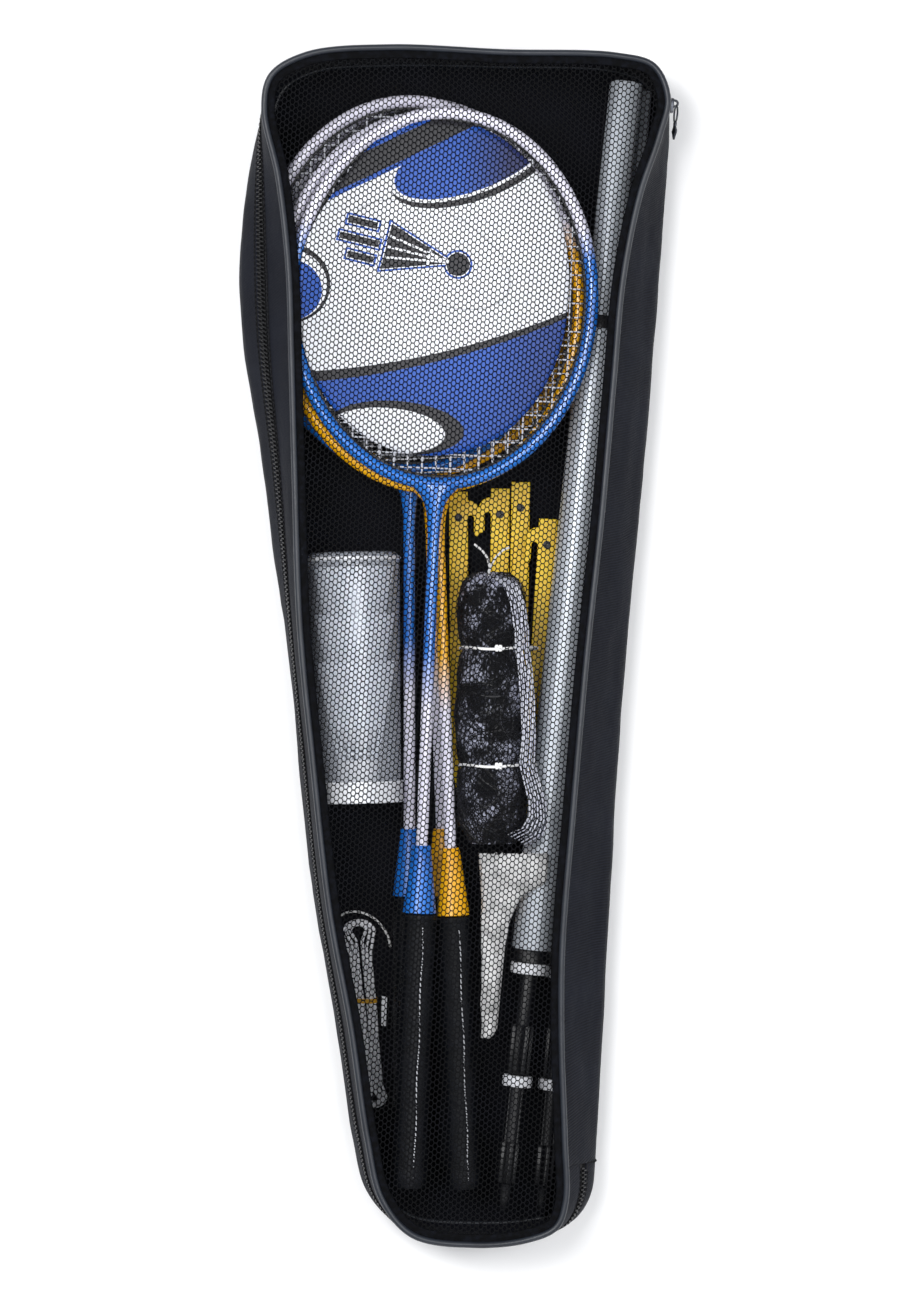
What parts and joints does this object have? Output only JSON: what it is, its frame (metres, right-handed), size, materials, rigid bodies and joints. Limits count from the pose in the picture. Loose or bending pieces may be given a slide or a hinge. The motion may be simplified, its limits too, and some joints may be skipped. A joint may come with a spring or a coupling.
{
  "type": "portable badminton set in carry bag",
  "caption": "Tapered black carry bag with a zipped see-through mesh front, packed with a folded badminton net, two-part poles, pegs, guy rope, rackets and a tube of shuttlecocks.",
  "frame": {"origin": "on the ground under the bag, at the middle of its flat back, where the back panel rests", "axes": "+Y towards the wide end of the bag, +Z out through the mesh front, +X to the right as seen from the front with the wide end up"},
  "size_m": [0.2679, 0.7297, 0.0675],
  "materials": {
    "bag_fabric": "woven polyester twill, dull sheen",
    "bag_mesh": "warp-knitted hexagonal mesh",
    "binding": "woven tape with one row of stitching",
    "piping": "corded piping, smooth cover",
    "zip_chain": "coil zip on woven tape",
    "zip_metal": "gunmetal lacquer",
    "racket_string": "nylon monofilament",
    "racket_grip": "synthetic grip sleeve, stitched down one side",
    "blue_frame": "gloss enamel fading to pearl white",
    "yellow_frame": "gloss enamel fading to pearl white",
    "blue_cone": "moulded, glossy",
    "yellow_cone": "moulded, glossy",
    "card": "coated printed card",
    "clear_plastic": "clear blown plastic",
    "white_plastic": "moulded white plastic",
    "cork": "moulded foam with a smooth skin",
    "nylon": "moulded nylon lattice",
    "net": "knotted thin twine",
    "net_tape": "woven tape, folded and hemmed",
    "tie_string": "twisted string",
    "peg_plastic": "injection moulded, slightly waxy",
    "rope": "braided cord",
    "film": "thin crumpled film",
    "pole_metal": "satin silver-grey",
    "pole_plug": "moulded, ribbed"
  },
  "bodies": {
    "bag": {"back_panel": "bag_fabric", "backing_card": "card", "film_sleeve": "film", "guy_rope_hank": "rope", "hinge_strip": "bag_fabric", "net_bundle": "net", "net_headband": "net_tape", "net_tie_1": "tie_string", "net_tie_2": "tie_string", "peg_1": "peg_plastic", "peg_2": "peg_plastic", "peg_3": "peg_plastic", "peg_4": "peg_plastic", "pole_1_lower_tube": "pole_metal", "pole_1_plug": "pole_plug", "pole_1_plug_ring": "white_plastic", "pole_1_reducer": "pole_plug", "pole_1_spike": "pole_plug", "pole_1_spike_ring": "white_plastic", "pole_1_upper_tube": "pole_metal", "pole_2_lower_tube": "pole_metal", "pole_2_plug": "pole_plug", "pole_2_plug_ring": "white_plastic", "pole_2_reducer": "pole_plug", "pole_2_spike": "pole_plug", "pole_2_spike_ring": "white_plastic", "pole_2_upper_tube": "pole_metal", "racket_1_cone": "blue_cone", "racket_1_frame": "blue_frame", "racket_1_grip": "racket_grip", "racket_1_strings": "racket_string", "racket_2_cone": "yellow_cone", "racket_2_frame": "yellow_frame", "racket_2_grip": "racket_grip", "racket_2_strings": "racket_string", "racket_3_cone": "blue_cone", "racket_3_frame": "blue_frame", "racket_3_grip": "racket_grip", "racket_3_strings": "racket_string", "racket_4_cone": "yellow_cone", "racket_4_frame": "yellow_frame", "racket_4_grip": "racket_grip", "racket_4_strings": "racket_string", "rear_gusset": "bag_fabric", "shuttle_tube": "clear_plastic", "shuttlecock_1_cork": "cork", "shuttlecock_1_skirt": "nylon", "shuttlecock_2_cork": "cork", "shuttlecock_2_skirt": "nylon", "shuttlecock_3_cork": "cork", "shuttlecock_3_skirt": "nylon", "tube_cap": "white_plastic", "zip_rear_chain": "zip_chain"},
    "front_flap": {"front_gusset": "bag_fabric", "zip_front_chain": "zip_chain", "mesh_panel": "bag_mesh", "mesh_binding": "binding", "front_piping": "piping"},
    "zip_slider_body": {"zip_slider": "zip_metal"},
    "zip_pull_body": {"zip_pull": "zip_metal"}
  },
  "joints": [
    {"name": "flap_hinge", "type": "hinge", "parent": "bag", "child": "front_flap", "pos_m": [0.076, -0.33, 0.04815], "axis": [0.083, 0.9965, 0], "range_deg": [0, 108]},
    {"name": "zip_travel", "type": "hinge", "parent": "bag", "child": "zip_slider_body", "pos_m": [0.104, 0.331, 0.044], "axis": [0, 0, 1], "range_deg": [0, 50]},
    {"name": "pull_swing", "type": "hinge", "parent": "zip_slider_body", "child": "zip_pull_body", "pos_m": [0.13522, 0.32867, 0.044], "axis": [0, 0, 1], "range_deg": [0, 150]}
  ]
}
